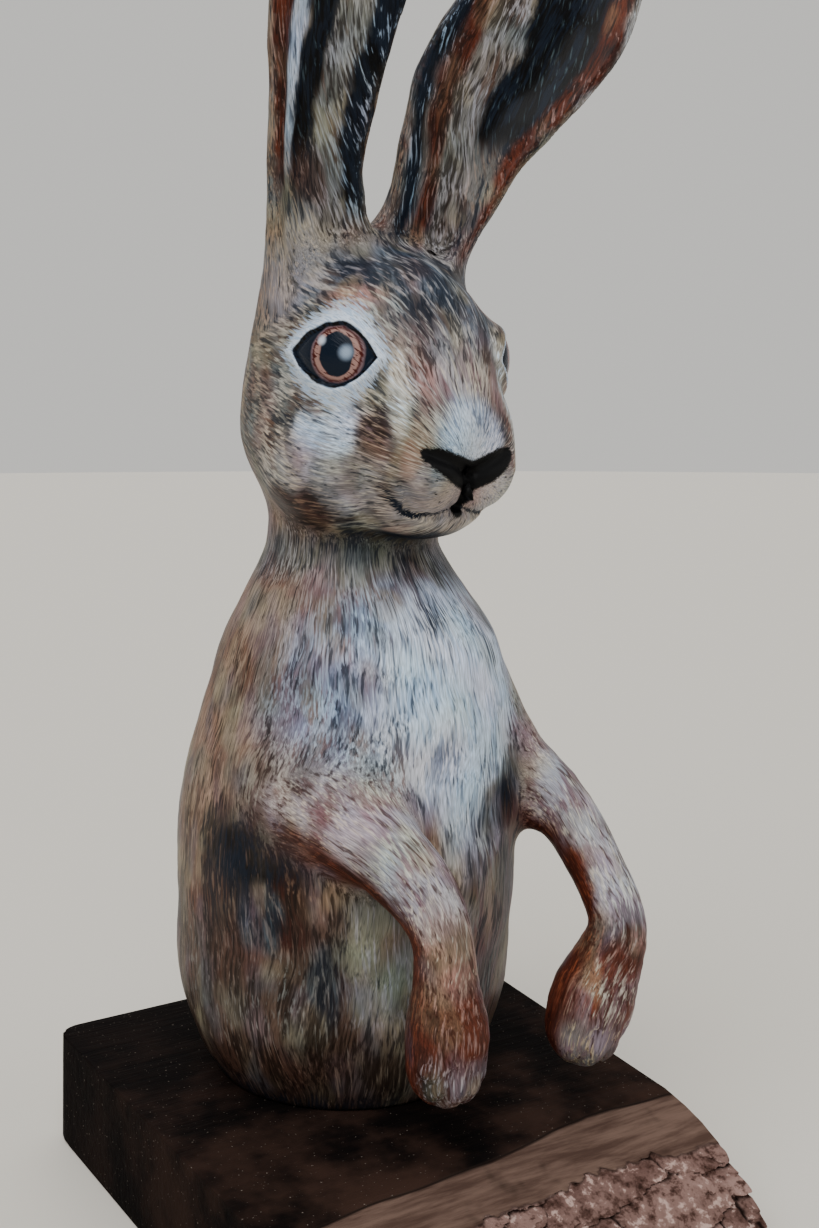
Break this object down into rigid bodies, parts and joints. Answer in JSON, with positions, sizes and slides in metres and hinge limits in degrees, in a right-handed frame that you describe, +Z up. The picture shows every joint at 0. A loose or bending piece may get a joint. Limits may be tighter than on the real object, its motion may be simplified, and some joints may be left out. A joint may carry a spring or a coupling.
{
  "type": "hare sculpture",
  "caption": "Painted hare figure sitting upright with tall open ears and hanging forepaws, fixed on a dark stained wooden slab with a live bark edge in front.",
  "frame": {"origin": "middle of the outline seen from above, on the plane of the board's underside", "axes": "+Z up, -Y the front, the bark edge; +X to the right seen from the front. The hare faces -Y, turned 5.5 degrees towards +X"},
  "size_m": [0.166, 0.1964, 0.4564],
  "materials": {
    "painted_clay": "hand painted in fine fur strokes under a satin varnish",
    "stained_wood": "dark stain on sawn faces, bare pinkish bark along the front edge"
  },
  "bodies": {
    "root": {"hare": "painted_clay", "board": "stained_wood"}
  },
  "joints": []
}
